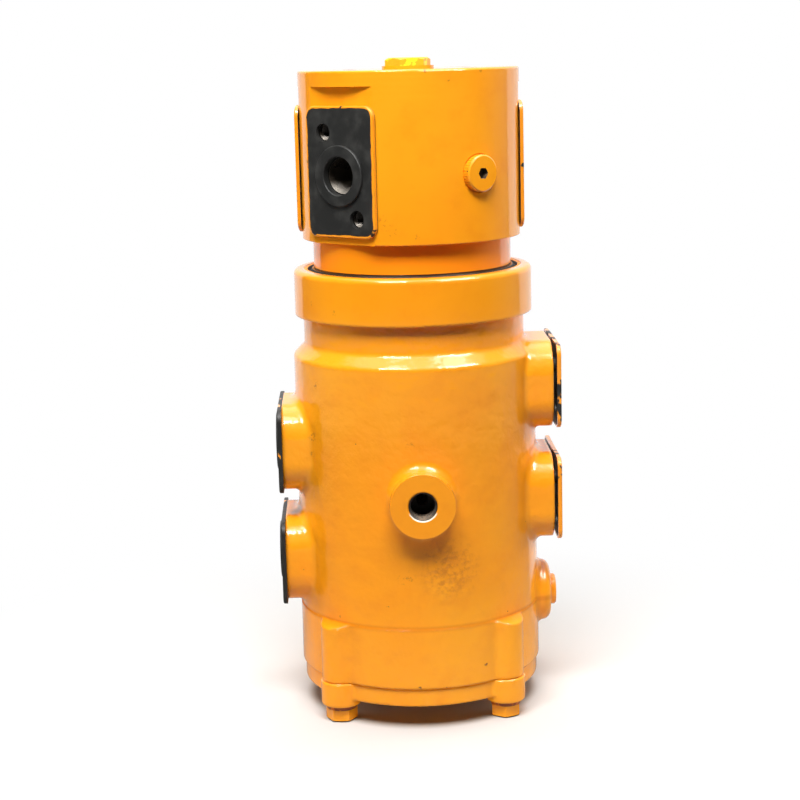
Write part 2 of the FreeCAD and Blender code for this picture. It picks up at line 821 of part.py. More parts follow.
def retainer_bolt_places():
    # Midway between neighbouring channels.
    around = sorted((a % 360) for a in list(channel_azimuths.values()) + [plug_azimuth])
    middles = []
    for i, azimuth in enumerate(around):
        ahead = around[(i + 1) % len(around)] + (360 if i == len(around) - 1 else 0)
        middles.append((azimuth + ahead) / 2)
    return bolt_places(middles, retainer_bolt_circle)


def retainer_plate():
    z0 = stem_bottom_z - retainer_thickness
    plate = rod(retainer_radius, z0, stem_bottom_z)
    hole = rod(retainer_bolt_radius + bolt_hole_gap, z0, stem_bottom_z)
    return plate.cut(Part.makeCompound(at_each(hole, retainer_bolt_places())))


def retainer_bolts():
    seat = stem_bottom_z - retainer_thickness
    shank = rod(retainer_bolt_radius, seat, stem_bottom_z + retainer_bolt_reach)
    head = hexagon_head(retainer_bolt_head_width, seat, retainer_bolt_head_height, -1)
    return Part.makeCompound(at_each(shank.fuse(head).removeSplitter(), retainer_bolt_places()))


def lower_thrust_washer():
    inner = bush_radius + bore_gap
    return tube(retainer_radius, inner, stem_bottom_z, stem_bottom_z + thrust_washer_thickness)


def head_plug():
    length = plug_thread_depth - thread_runout
    plug = socket_plug(head_plug_radius, head_plug_height, head_plug_chamfer, length)
    side = 2 * knurl_depth
    groove = Part.makeBox(side, side, head_plug_height, V(-side / 2, -side / 2, 0))
    groove.rotate(V(0, 0, 0), V(0, 0, 1), 45)
    groove.translate(V(head_plug_radius + side / math.sqrt(2) - knurl_depth, 0, 0))
    knurl = [spun(groove, i * 360 / knurl_count) for i in range(knurl_count)]
    plug = plug.cut(Part.makeCompound(knurl))
    return facing_out(plug, head_radius - spot_depth, head_port_z, plug_azimuth)


def head_plug_o_ring():
    ring = torus(plug_thread_radius + plug_ring_offset, plug_ring_section, -plug_ring_offset)
    return facing_out(ring, head_radius - spot_depth, head_port_z, plug_azimuth)


def top_plug():
    seat = head_top_z + top_washer_thickness
    head = hexagon_head(top_plug_width, seat, top_plug_height, 1)
    shank_bottom = head_top_z - top_plug_thread_depth + thread_runout
    shank = rod(top_plug_thread_radius - thread_gap, shank_bottom, seat)
    plug = head.fuse(shank).removeSplitter()
    plug.rotate(V(0, 0, 0), V(0, 0, 1), top_plug_turn)
    return plug


def top_plug_washer():
    inner = top_plug_thread_radius + loose_gap
    return tube(top_washer_radius, inner, head_top_z, head_top_z + top_washer_thickness)


pieces = {
    "housing": housing(),
    "bottom_cover": bottom_cover(),
    "cover_o_ring": cover_o_ring(),
    "cover_bolts": cover_bolts(),
    "cover_spring_washers": cover_spring_washers(),
    "dust_seal": dust_seal(),
    "upper_bush": bush(upper_bush_bottom_z, upper_shoulder_z),
    "lower_bush": bush(cavity_top_z, lower_bush_top_z),
    "upper_thrust_washer": upper_thrust_washer(),
    "slipper_seals": slipper_seals(),
    "seal_energisers": seal_energisers(),
    "pilot_plug": pilot_plug(),
    "pilot_plug_washer": pilot_plug_washer(),
    "spindle": spindle(),
    "retainer_plate": retainer_plate(),
    "retainer_bolts": retainer_bolts(),
    "lower_thrust_washer": lower_thrust_washer(),
    "channel_plugs": channel_plugs(),
    "head_plug": head_plug(),
    "head_plug_o_ring": head_plug_o_ring(),
    "top_plug": top_plug(),
    "top_plug_washer": top_plug_washer(),
}
for name, azimuth, z in body_ports:
    lift = loose_guard_lift if azimuth > 0 else guard_lift
    pieces["port_guard_" + name] = guard_on(boss_face, z, azimuth, lift, True)
for side, azimuth in channel_azimuths.items():
    pieces["port_guard_head_" + side] = guard_on(head_flat_distance, head_port_z, azimuth, guard_lift, False)

for name, shape in pieces.items():
    shape.exportStep(os.path.join("parts", name + ".step"))
    print(name, len(shape.Solids), round(shape.Volume, 1), shape.isValid())
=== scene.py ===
import json
import math

import bmesh
import bpy
from mathutils import Matrix, Vector


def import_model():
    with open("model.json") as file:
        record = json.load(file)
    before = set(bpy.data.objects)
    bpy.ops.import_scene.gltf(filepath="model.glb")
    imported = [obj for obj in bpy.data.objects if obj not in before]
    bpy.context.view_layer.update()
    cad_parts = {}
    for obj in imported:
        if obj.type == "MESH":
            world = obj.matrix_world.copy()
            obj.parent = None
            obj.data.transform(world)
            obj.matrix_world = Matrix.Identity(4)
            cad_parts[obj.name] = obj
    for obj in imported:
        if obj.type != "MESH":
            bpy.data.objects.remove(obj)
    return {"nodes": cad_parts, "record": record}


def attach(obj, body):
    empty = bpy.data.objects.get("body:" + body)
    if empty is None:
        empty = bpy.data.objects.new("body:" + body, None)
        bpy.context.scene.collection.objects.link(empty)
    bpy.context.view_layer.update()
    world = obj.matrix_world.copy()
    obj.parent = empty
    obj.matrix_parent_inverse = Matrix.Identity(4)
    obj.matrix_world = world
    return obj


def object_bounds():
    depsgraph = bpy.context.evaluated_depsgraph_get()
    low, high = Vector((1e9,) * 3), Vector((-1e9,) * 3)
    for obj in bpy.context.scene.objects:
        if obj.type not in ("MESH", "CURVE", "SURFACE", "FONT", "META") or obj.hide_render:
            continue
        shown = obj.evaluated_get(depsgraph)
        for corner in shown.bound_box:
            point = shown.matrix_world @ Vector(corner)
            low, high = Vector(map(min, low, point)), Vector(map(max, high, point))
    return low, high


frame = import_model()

CAD_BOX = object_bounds()
NODES = frame["nodes"]
PORTS = [m for m in frame["record"]["mounts"] if "_port_" in m["name"]]
DRAIN = next(m for m in frame["record"]["mounts"] if m["name"] == "drain_port")
TOP_HOLES = next(m for m in frame["record"]["mounts"] if m["name"] == "head_top_bolts")
FIXED = "housing_side"
TURNING = "turning_side"
HEAD_PORT_Z = next(p for p in PORTS if p["name"].startswith("head"))["pos_m"][2]
FLOOR_Z = CAD_BOX[0].z
UP = Vector((0, 0, 1))

# Camera, as the photograph was taken
CAMERA_DISTANCE = 1.2731
CAMERA_HEIGHT = 0.4430
CAMERA_AZIMUTH = math.radians(-2.0)
CAMERA_YAW = math.radians(-0.495)
CAMERA_PITCH = math.radians(10.822)
CAMERA_ROLL = math.radians(-1.411)
CAMERA_SENSOR = 36.0
CAMERA_LENS = 81.68

# Flanges: spacing and size of the tapped holes, thread pitches, and the guard's outline
BOLT_LONG = 0.05715
BOLT_SHORT = 0.02776
TAP_RADIUS = 0.0051
TAP_DEPTH = 0.021
PORT_DEPTH = 0.060
THREAD_LENGTH = 0.012
M12_PITCH = 0.00175
PIPE_PITCH = 0.001814
GUARD_WIDTH = 0.059
GUARD_LENGTH = 0.0875
GUARD_CORNER = 0.008
GUARD_SHIFT = 0.0025
OPEN_CORNERS = [(-1, 1), (1, -1)]
ALL_CORNERS = [(-1, -1), (-1, 1), (1, -1), (1, 1)]

# A thread's section, in pitches: half its width at the root and at the crest, its height, and its start
ROOT_HALF = 0.42
CREST_HALF = 0.06
CREST_HEIGHT = 0.55
FIRST_TURN = 0.6
STEPS_PER_TURN = 28

# Drain hole, and the socket in the head's plug. The boss's face and the hole's lip stand out of the
# drain's stated mouth.
DRAIN_FACE = 0.001
DRAIN_LIP = 0.0015
DRAIN_LIP_RADIUS = 0.0107
# From this depth in, the drain hole is painted black as shade.
DRAIN_DARK_FROM = 0.002
DRAIN_BORE_RADIUS = 0.0098
DRAIN_DEPTH = 0.030
# Below these heights the lip's lower side, which looks up, carries a painted highlight.
HIGHLIGHT_FROM = 0.0036
HIGHLIGHT_FULL = 0.0060
LIP_INNER = 0.0096
LIP_OUTER = 0.0099
SOCKET_RADIUS = 0.0050
SOCKET_DEPTH = 0.008

# Room given to a test for the faces of a hole or a plane, and how squarely a face of a plane has to look
HOLE_SLACK = 0.0003
PLANE_SLACK = 0.0002
SQUARE = 0.99

# Radii round a port's bore and round an open tapped hole that its guard kept free of spray, painted black
# as shade
PORT_BARE_RADIUS = 0.0150
TAP_BARE_RADIUS = 0.0075

# How much of each guard's rim the spray covered: about none at 0.3, half at 0.5 and all at 0.7. Then how
# far out of the flange it starts, on the body and on the head, and how far in from the rim it ends. The
# black strip of rim next to the flange is the rubber's own black, and also stands in for the shade of the
# gap there.
SPRAY = {
    "head_port_front": 0.66, "head_port_right": 0.60, "head_port_rear": 0.58, "head_port_left": 0.62,
    "body_port_left_lower": 0.40, "body_port_right_lower": 0.66,
    "body_port_left_upper": 0.38, "body_port_right_upper": 0.52}
SPRAY_DEPTH = {"body": 0.0014, "head": 0.0006}
SPRAY_REACH = 0.0016

# Studio that the gloss mirrors: the directions round the axis, in degrees from the front, where it turns
# bright and how sharply, its level in front, and its level overhead with the heights of that direction
FAR_RIGHT = 121
FAR_LEFT = -135
FAR_BLUR = 1
DIM = 0.01
OVERHEAD = 2.4
OVERHEAD_FROM = 0.74
OVERHEAD_FULL = 0.86

# Share of the bright sides that lights the part, and the level all round
SIDES_SHARE = 0.6
AMBIENT = 0.02

# Floor: half its size, its gap under the part, its paper beyond the part and its painted shadow under it,
# and the light that it throws back near the part and far from it
FLOOR_HALF = 4.0
FLOOR_GAP = 0.0002
PAPER = (0.66, 0.65, 0.63, 1)
PAPER_SHADOW = (0.36, 0.33, 0.29, 1)
PAPER_IN_GLOSS = (0.26, 0.26, 0.25, 1)
BOUNCE_NEAR = (0.64, 0.63, 0.61, 1)
BOUNCE_FAR = (0.08, 0.08, 0.08, 1)

# Floor in the gloss: its level near the part, what is added in the middle and what is taken off far away
GLOW = 0.27
GLOW_MIDDLE = 0.20
GLOW_FADE = 0.43

# Distances from the axis between which the floor changes: its thrown-back light fades out, its painted
# shadow under the part fades into the pale paper, its white shows, and its level in the gloss rises and
# falls
BOUNCE_SPAN = (0.40, 0.18)
SHADOW_SPAN = (0.076, 0.086)
WHITE_SPAN = (0.11, 0.42)
MIDDLE_SPAN = (1.00, 1.05)
FADE_SPAN = (1.75, 2.15)

# Lamps that light the part: name, degrees round from the front, elevation, width, height and power
LAMPS = [
    ("key", -8, 56, 1.0, 0.45, 33.5),
    ("left_fill", -104, 8, 0.7, 0.7, 9.0),
    ("right_fill", 110, 8, 0.7, 0.7, 11.0),
    ("rear_left", -150, 62, 0.9, 0.6, 5.0),
    ("rear_right", 150, 62, 0.9, 0.6, 5.0)]
# Lamps that only the gloss shows
GLOSS_LAMPS = [
    ("gloss_left", -27, 52, 0.55, 0.35, 19.0),
    ("gloss_right", 55, 52, 0.8, 0.35, 26.0),
    ("gloss_left_high", -29, 66, 0.40, 0.30, 2.4),
    ("gloss_right_high", 55, 66, 0.6, 0.30, 3.6)]
LAMP_DISTANCE = 1.4
LAMP_AIM = Vector((0, 0, 0.22))

# Heights and radii where the finish changes, how softly it does, and the spans of the ledge's dull top and
# of the painted shade beside it. The black line at the foot of the neck, the deeper orange of the neck
# under the head and the black at the foot of each bolt head are painted shade too.
RING_BOTTOM = 0.264
RING_TOP = 0.2964
SEAL_DEPTH = 0.009
BORE_RADIUS = 0.0705
STEM_RADIUS = 0.0560
SEAL_LIP = 0.0702
SEAL_RIM = 0.0737
NECK_SHADE_TOP = 0.2976
NECK_TOP = 0.3174
FOOT_RADIUS = 0.0862
FOOT_TOP = 0.0559
BOLT_SHADE_TOP = FLOOR_Z + 0.0008
BLUR = 0.0002
PAINT_LINE = 0.0001
TONE_BLUR = 0.0004
LEDGE_TOP = (0.0008, 0.0003)
LEDGE_SHADE = (0.0030, 0.0004)

# Relief of the sand-cast skin and of the lathe's lines, the share of it left in the top coat, and the
# radius by which the casting's edges look rounded
CAST_RELIEF = 0.0009
TURNED_RELIEF = 0.00012
FILM = 0.6
CAST_EDGE = 0.0024

# Marks on the paint: a point in the row frame's metres, a radius, and how dark the mark is. From
# CHIPPED up it is a chip, and below it a smear.
CHIPPED = 0.75
HEAD_MARKS = [
    ((-0.0198, -0.0739, 0.3330), 0.0075, 0.40), ((-0.0146, -0.0751, 0.3257), 0.0055, 0.45),
    ((0.0007, -0.0765, 0.3228), 0.0030, 0.50), ((0.0236, -0.0728, 0.4250), 0.0016, 0.80),
    ((0.0087, -0.0750, 0.4310), 0.0020, 1.00), ((0.0455, -0.0610, 0.4305), 0.0018, 0.90),
    ((-0.0630, -0.0433, 0.4087), 0.0035, 0.55), ((-0.0714, -0.0274, 0.3781), 0.0014, 1.00)]
BODY_MARKS = [
    ((-0.0553, -0.0625, 0.2725), 0.0030, 0.65), ((-0.0708, -0.0442, 0.2766), 0.0022, 0.60),
    ((-0.0700, -0.0490, 0.2216), 0.0045, 0.60), ((-0.0728, -0.0446, 0.1841), 0.0055, 0.70),
    ((-0.0732, -0.0440, 0.1724), 0.0035, 0.70), ((-0.0800, -0.0220, 0.1180), 0.0080, 0.60),
    ((-0.0795, -0.0313, 0.0764), 0.0014, 1.00), ((-0.0250, -0.0817, 0.0717), 0.0014, 0.90),
    ((-0.0577, -0.0630, 0.0600), 0.0014, 0.90), ((-0.0597, -0.0619, 0.0279), 0.0020, 0.90),
    ((0.0423, -0.0749, 0.0261), 0.0020, 0.90), ((-0.0045, -0.0859, 0.0142), 0.0018, 1.00),
    ((-0.0074, -0.0851, 0.1841), 0.0040, 0.50), ((-0.0119, -0.0846, 0.0928), 0.0080, 0.40),
    ((-0.0200, -0.0985, 0.1600), 0.0022, 1.00), ((0.0280, -0.0975, 0.1500), 0.0025, 1.00)]
# A painted shadow beside the left bosses and a pitted patch: a point and a radius
BOSS_SHADOW = ((-0.0840, -0.0160, 0.1250), 0.013)
ROUGH_SPOT = ((0.0180, -0.0840, 0.0980), 0.030)

# Colours, linear
ORANGE = (0.98, 0.330, 0.0045, 1)
# Deeper orange: random tone in the enamel, and painted shade on the neck under the head
ORANGE_DEEP = (0.90, 0.266, 0.0035, 1)
ORANGE_PALE = (0.99, 0.378, 0.0090, 1)
# Painted shade along the foot's ledge and on the spring washers
ORANGE_PAINTED_SHADE = (0.62, 0.150, 0.0020, 1)
# Chips, and the painted shadow beside the left bosses
CHIP_AND_SHADOW = (0.090, 0.030, 0.008, 1)
# Dirt and smears, and painted shade on the spring washers
DIRT_AND_SHADE = (0.26, 0.070, 0.010, 1)
RUST = (0.56, 0.140, 0.006, 1)
RUBBER = (0.015, 0.015, 0.014, 1)
RUBBER_WORN = (0.040, 0.039, 0.036, 1)
STEEL = (0.72, 0.65, 0.56, 1)
# Lighter brown of the grains on faces that look up in the holes, painted light
LIT_GRAINS = (0.30, 0.18, 0.09, 1)
# Dark steel: the bronze's pores, and painted shade in the holes and on the bores' faces that do not look
# up
STEEL_DARK = (0.050, 0.040, 0.030, 1)
# Painted highlight on the drain lip's lower side
LIP_HIGHLIGHT = (0.90, 0.80, 0.62, 1)
# Black painted as shade: at the foot of the neck, at the foot of each bolt head, inside the drain's lip
# and on the ports' faces inside the guards
SHADE_BLACK = (0.012, 0.010, 0.008, 1)
BRONZE = (0.48, 0.27, 0.09, 1)
LEMON = (0.98, 0.80, 0.02, 1)


# Node graphs

class Graph:
    """A material with one Principled shader and short calls that add nodes to it."""

    def __init__(self, name):
        self.material = bpy.data.materials.new(name)
        self.material.use_nodes = True
        self.tree = self.material.node_tree
        self.shader = self.tree.nodes["Principled BSDF"]
        self.place = self.add("ShaderNodeTexCoord").outputs["Object"]

    def add(self, kind, inputs=None, **settings):
        """A node of that kind. An input is a number, a colour or another node's output."""
        made = self.tree.nodes.new(kind)
        for key, value in settings.items():
            setattr(made, key, value)
        for key, value in (inputs or {}).items():
            self.put(made.inputs[key], value)
        return made

    def put(self, socket, value):
        if isinstance(value, bpy.types.NodeSocket):
            self.tree.links.new(value, socket)
        else:
            socket.default_value = value

    def set(self, **values):
        """Values or links on the shader's own sockets, with _ for a space."""
        for key, value in values.items():
            self.put(self.shader.inputs[key.replace("_", " ")], value)

    def math(self, operation, a, b=0.0, c=0.0):
        made = self.add("ShaderNodeMath", operation=operation)
        for socket, value in zip(made.inputs, (a, b, c)):
            self.put(socket, value)
        return made.outputs[0]

    def times(self, *values):
        result = values[0]
        for value in values[1:]:
            result = self.math("MULTIPLY", result, value)
        return result

    def most(self, *values):
        result = values[0]
        for value in values[1:]:
            result = self.math("MAXIMUM", result, value)
        return result

    def noise(self, scale, detail=3.0, roughness=0.5, at=None, distortion=0.0):
        made = self.add("ShaderNodeTexNoise", {
            "Vector": at or self.place, "Scale": scale, "Detail": detail,
            "Roughness": roughness, "Distortion": distortion})
        return made.outputs["Fac"]

    def stretched(self, x, y, z):
        """The place with each axis scaled."""
        made = self.add("ShaderNodeVectorMath", operation="MULTIPLY")
        self.put(made.inputs[0], self.place)
        made.inputs[1].default_value = (x, y, z)
        return made.outputs[0]

    def along(self, direction, origin):
        """How far the place lies from origin along a direction."""
        made = self.add("ShaderNodeVectorMath", operation="DOT_PRODUCT")
        self.put(made.inputs[0], self.place)
        made.inputs[1].default_value = direction
        return self.math("SUBTRACT", made.outputs["Value"], Vector(direction).dot(origin))

    def ramp(self, value, low, high):
        """0 below low and 1 above high, smooth between."""
        made = self.add("ShaderNodeMapRange", {
            "Value": value, "From Min": low, "From Max": high}, interpolation_type="SMOOTHSTEP")
        return made.outputs[0]

    def mix(self, factor, a, b):
        made = self.add("ShaderNodeMix", data_type="RGBA")
        self.put(made.inputs["Factor"], factor)
        for name, value in (("A", a), ("B", b)):
            sockets = [s for s in made.inputs if s.name == name and s.type == "RGBA"]
            self.put(sockets[0], value)
        return [s for s in made.outputs if s.type == "RGBA"][0]

    def axes(self):
        made = self.add("ShaderNodeSeparateXYZ", {"Vector": self.place})
        return made.outputs

    def from_axis(self):
        """Distance from the part's axis of rotation."""
        x, y = self.axes()[:2]
        return self.math("SQRT", self.math("ADD", self.times(x, x), self.times(y, y)))

    def near(self, point, radius, soft=0.5):
        """1 within radius of a point, fading to 0 over the outer soft share of it."""
        made = self.add("ShaderNodeVectorMath", operation="DISTANCE")
        self.put(made.inputs[0], self.place)
        made.inputs[1].default_value = point
        return self.ramp(made.outputs["Value"], radius, radius * (1.0 - soft))

    def dots(self, scale, size, share):
        """Round specks in that share of the cells of a grid that is scale cells to the metre."""
        cells = self.add("ShaderNodeTexVoronoi", {
            "Vector": self.place, "Scale": scale, "Randomness": 1.0})
        pick = self.add("ShaderNodeSeparateColor", {"Color": cells.outputs["Color"]}).outputs[0]
        chosen = self.math("GREATER_THAN", pick, 1.0 - share)
        return self.times(chosen, self.math("LESS_THAN", cells.outputs["Distance"], size))

    def edges(self, radius):
        """1 on edges of the mesh and 0 on its flat stretches."""
        rounded = self.add("ShaderNodeBevel", {"Radius": radius}, samples=4)
        true = self.add("ShaderNodeNewGeometry").outputs["Normal"]
        made = self.add("ShaderNodeVectorMath", operation="DOT_PRODUCT")
        self.put(made.inputs[0], rounded.outputs[0])
        self.put(made.inputs[1], true)
        return self.ramp(made.outputs["Value"], 0.992, 0.93)

    def facing_up(self):
        """1 on surfaces that face up, 0 on those that face sideways or down."""
        normal = self.add("ShaderNodeNewGeometry").outputs["Normal"]
        return self.ramp(self.add("ShaderNodeSeparateXYZ", {"Vector": normal}).outputs[2], 0.25, 0.85)

    def bump(self, height, distance, rounded=0.0):
        """Normal of a relief, over edges that look rounded by that radius."""
        made = self.add("ShaderNodeBump", {"Height": height, "Distance": distance})
        if rounded:
            bevel = self.add("ShaderNodeBevel", {"Radius": rounded}, samples=6)
            self.put(made.inputs["Normal"], bevel.outputs[0])
        return made.outputs[0]


# Finishes. A noise's first number is its scale, in cells to the metre, and a mix's or a relief's numbers
# are shares.

def enamel(g, marks=()):
    """Colour of the sprayed orange enamel, with chips, specks, grime and the photo's own marks."""
    broad = g.noise(9.0, 2.0)
    cloud = g.noise(45.0, 4.0, 0.6)
    colour = g.mix(g.ramp(broad, 0.35, 0.7), ORANGE, ORANGE_PALE)
    colour = g.mix(g.times(g.ramp(cloud, 0.45, 0.8), 0.45), colour, ORANGE_DEEP)
    grime = g.times(g.ramp(g.noise(28.0, 6.0, 0.7), 0.60, 0.80), 0.12)
    colour = g.mix(grime, colour, DIRT_AND_SHADE)
    crumbs = g.noise(420.0, 3.0, 0.65)
    for point, radius, depth in marks:
        mottled = g.times(g.near(point, radius, 0.7), g.ramp(crumbs, 0.62 - 0.22 * depth, 0.66), depth)
        colour = g.mix(mottled, colour, DIRT_AND_SHADE if depth < CHIPPED else CHIP_AND_SHADOW)
    worn = g.times(g.edges(0.0012), g.ramp(g.noise(150.0, 4.0, 0.65), 0.66, 0.72))
    specks = g.most(g.dots(85.0, 0.055, 0.05), g.dots(230.0, 0.10, 0.008))
    return g.mix(g.times(g.most(worn, specks), 0.85), colour, CHIP_AND_SHADOW)


def finish_enamel(g, colour, height, distance, rounded=0.0):
    """Gloss of the enamel over a surface with that relief."""
    g.set(Base_Color=colour, Roughness=0.5, Specular_IOR_Level=0.15)
    g.set(Coat_Weight=1.0, Coat_Roughness=0.05)
    g.set(Normal=g.bump(height, distance, rounded))
    g.set(Coat_Normal=g.bump(height, distance * FILM, rounded))
    return g.material


def cast_paint():
    """Enamel on the sand-cast housing and cover, smooth on the turned ring, dull on the foot's ledge, with
    painted shade along the ledge and a painted shadow beside the left bosses.
    """
    g = Graph("orange_paint_cast")
    z = g.axes()[2]
    cast = g.ramp(z, RING_BOTTOM + 0.0008, RING_BOTTOM - 0.0004)
    sand = g.noise(260.0, 3.0, 0.6)
    lumps = g.noise(85.0, 3.0, 0.55)
    rough = g.near(*ROUGH_SPOT, soft=0.8)
    grit = g.times(sand, g.math("ADD", 0.16, g.times(rough, 1.6)))
    skin = g.math("ADD", grit, g.times(lumps, 0.8))
    height = g.math("ADD", g.times(cast, skin), g.times(g.noise(300.0, 2.0), 0.08))
    colour = enamel(g, BODY_MARKS)
    pits = g.times(rough, g.ramp(g.noise(240.0, 4.0, 0.65), 0.42, 0.66), 0.50)
    colour = g.mix(pits, colour, RUST)
    # Painted shadow beside the left bosses, in a dark brown
    stain = g.times(g.near(*BOSS_SHADOW, soft=0.9), 0.75)
    colour = g.mix(stain, colour, CHIP_AND_SHADOW)
    from_ledge = g.math("ABSOLUTE", g.math("SUBTRACT", z, FOOT_TOP))
    within = g.ramp(g.from_axis(), FOOT_RADIUS + BLUR, FOOT_RADIUS)
    on_ledge = g.times(g.ramp(from_ledge, *LEDGE_TOP), within)
    # Painted shade along the foot's ledge
    colour = g.mix(g.times(g.ramp(from_ledge, *LEDGE_SHADE), 0.45), colour, ORANGE_PAINTED_SHADE)
    finish_enamel(g, colour, height, CAST_RELIEF, CAST_EDGE)
    g.set(Coat_Weight=g.math("SUBTRACT", 1.0, on_ledge))
    return g.material


def turned_paint(name, marks=(), bare=(), black_shade_below=None, shade_below=None):
    """Enamel on machined steel, with the lathe's fine lines under it. bare lists the points and radii of
    the places that the spray did not reach, which are painted black as shade. Below the height in the
    fourth argument it is painted black as the shade of a gap, and below the height in the fifth it is
    painted a deeper orange as shade."""
    g = Graph(name)
    lathe = g.noise(420.0, 2.0, 0.5, at=g.stretched(0.02, 0.02, 1.0))
    peel = g.noise(240.0, 2.0)
    height = g.math("ADD", g.times(lathe, 0.6), peel)
    colour = enamel(g, marks)
    # Painted shade: a deeper orange below one height, and black below another and on the bare spots
    if shade_below:
        deep = g.ramp(g.axes()[2], shade_below + TONE_BLUR, shade_below - TONE_BLUR)
        colour = g.mix(g.times(deep, 0.7), colour, ORANGE_DEEP)
    masks = [g.near(point, radius, 0.02) for point, radius in bare]
    if black_shade_below:
        masks.append(g.ramp(g.axes()[2], black_shade_below + PAINT_LINE, black_shade_below - PAINT_LINE))
    if masks:
        colour = g.mix(g.most(*masks), colour, SHADE_BLACK)
    return finish_enamel(g, colour, height, TURNED_RELIEF)


def rubber_look(g, colour):
    """Satin surface of moulded rubber."""
    cloud = g.noise(60.0, 4.0, 0.6, distortion=0.8)
    g.set(Base_Color=colour, Roughness=g.math("ADD", 0.30, g.times(cloud, 0.35)))
    g.set(Specular_IOR_Level=0.45, Normal=g.bump(g.noise(900.0, 2.0), 0.00006))
    return g.material


def black(g):
    """Colour of the bare rubber, dusty in places."""
    return g.mix(g.ramp(g.noise(70.0, 4.0, 0.6), 0.42, 0.78), RUBBER, RUBBER_WORN)


def guard_rubber(port):
    """Rubber of one port guard, orange where the spray caught its rim."""
    spray = SPRAY[port["name"]]
    g = Graph("guard_" + port["name"])
    out, across, up = port_axes(port)
    origin = Vector(port["pos_m"])
    u = g.math("ABSOLUTE", g.along(across, origin))
    v = g.math("ABSOLUTE", g.math("SUBTRACT", g.along(up, origin), GUARD_SHIFT))
    inner_u = g.math("MAXIMUM", g.math("SUBTRACT", u, GUARD_WIDTH / 2 - GUARD_CORNER), 0.0)
    inner_v = g.math("MAXIMUM", g.math("SUBTRACT", v, GUARD_LENGTH / 2 - GUARD_CORNER), 0.0)
    reach = g.math("SQRT", g.math("ADD", g.times(inner_u, inner_u), g.times(inner_v, inner_v)))
    to_rim = g.math("SUBTRACT", GUARD_CORNER, reach)
    wobble = g.times(g.math("SUBTRACT", g.noise(120.0, 3.0), 0.5), 0.0018)
    rim = g.ramp(g.math("ADD", to_rim, wobble), SPRAY_REACH + BLUR, SPRAY_REACH - BLUR)
    bare = g.ramp(g.noise(55.0, 3.0, 0.6), spray - 0.015, spray + 0.015)
    depth = SPRAY_DEPTH[port["name"][:4]]
    # The rim next to the flange stays black: bare rubber, and also painted shade for the gap
    deep = g.ramp(g.along(out, origin), depth - 0.0003, depth)
    painted = g.times(rim, deep, g.math("SUBTRACT", 1.0, bare))
    g.set(Coat_Weight=painted)
    return rubber_look(g, g.mix(painted, black(g), ORANGE))


def seal_rubber():
    """Dust seal, sprayed on its rim and lip and bare in the valley between them."""
    g = Graph("seal_rubber")
    radius = g.math("ADD", g.from_axis(), g.times(g.math("SUBTRACT", g.noise(90.0, 3.0), 0.5), 0.0006))
    lip = g.ramp(radius, SEAL_LIP + BLUR, SEAL_LIP - BLUR)
    rim = g.ramp(radius, SEAL_RIM - BLUR, SEAL_RIM + BLUR)
    return rubber_look(g, g.mix(g.most(lip, rim), black(g), ORANGE_PALE))


def shaded_washer():
    """Spring washers, painted dark brown all over in two tones as the shade between the lug and the bolt
    head.
    """
    g = Graph("shaded_washer")
    patch = g.ramp(g.noise(200.0, 3.0), 0.50, 0.60)
    g.set(Base_Color=g.mix(patch, DIRT_AND_SHADE, ORANGE_PAINTED_SHADE), Roughness=0.5)
    g.set(Normal=g.bump(g.noise(600.0), 0.0001))
    return g.material


def bare_steel():
    """Machined steel inside the bores, stained in patches, and dark as painted shade on every face that
    does not look up.
    """
    g = Graph("bare_steel")
    stain = g.ramp(g.noise(110.0, 4.0, 0.7), 0.35, 0.75)
    # Painted shade: only faces that look up keep the bright steel
    dull = g.most(g.times(stain, 0.7), g.math("SUBTRACT", 1.0, g.facing_up()))
    g.set(Base_Color=g.mix(dull, STEEL, STEEL_DARK), Metallic=0.35)
    g.set(Roughness=g.math("ADD", 0.25, g.times(stain, 0.3)))
    g.set(Normal=g.bump(g.noise(700.0, 2.0), 0.00005))
    return g.material


def chamfer():
    """Lip of the drain hole: painted orange, with a painted highlight along its lower side, which looks
    up, and black inside as painted shade.
    """
    g = Graph("lit_chamfer")
    x, _, z = g.axes()[:3]
    rise = g.math("SUBTRACT", z, DRAIN["pos_m"][2])
    radius = g.math("SQRT", g.math("ADD", g.times(x, x), g.times(rise, rise)))
    low = g.ramp(rise, -HIGHLIGHT_FROM, -HIGHLIGHT_FULL)
    lip = g.ramp(radius, LIP_INNER, LIP_OUTER)
    g.set(Base_Color=g.mix(lip, SHADE_BLACK, g.mix(low, ORANGE, LIP_HIGHLIGHT)), Roughness=0.45)
    g.set(Specular_IOR_Level=0.3)
    g.set(Normal=g.bump(g.noise(900.0, 3.0), 0.0002))
    return g.material


def shaded_bore():
    """Depth of a hole, painted black as shade, with lighter brown grains on the faces that look up as
    painted light.
    """
    g = Graph("shaded_bore")
    grains = g.times(g.facing_up(), g.ramp(g.noise(500.0, 3.0), 0.35, 0.6))
    g.set(Base_Color=g.mix(grains, STEEL_DARK, LIT_GRAINS), Roughness=0.6)
    g.set(Normal=g.bump(g.noise(400.0, 2.0), 0.0001))
    return g.material


def bronze():
    """Sintered bronze of the bushes and thrust washers."""
    g = Graph("sintered_bronze")
    pores = g.noise(1200.0, 3.0, 0.6)
    g.set(Base_Color=g.mix(g.ramp(pores, 0.5, 0.7), BRONZE, STEEL_DARK), Metallic=0.8, Roughness=0.4)
    g.set(Normal=g.bump(pores, 0.00005))
    return g.material


def lemon():
    """Yellow plastic plug with stray orange spray."""
    g = Graph("yellow_cap")
    patch = g.ramp(g.noise(120.0, 3.0, 0.6), 0.42, 0.48)
    g.set(Base_Color=g.mix(patch, LEMON, ORANGE_PALE), Roughness=0.4)
    g.set(Normal=g.bump(g.noise(500.0, 2.0), 0.0001))
    return g.material


# Ports

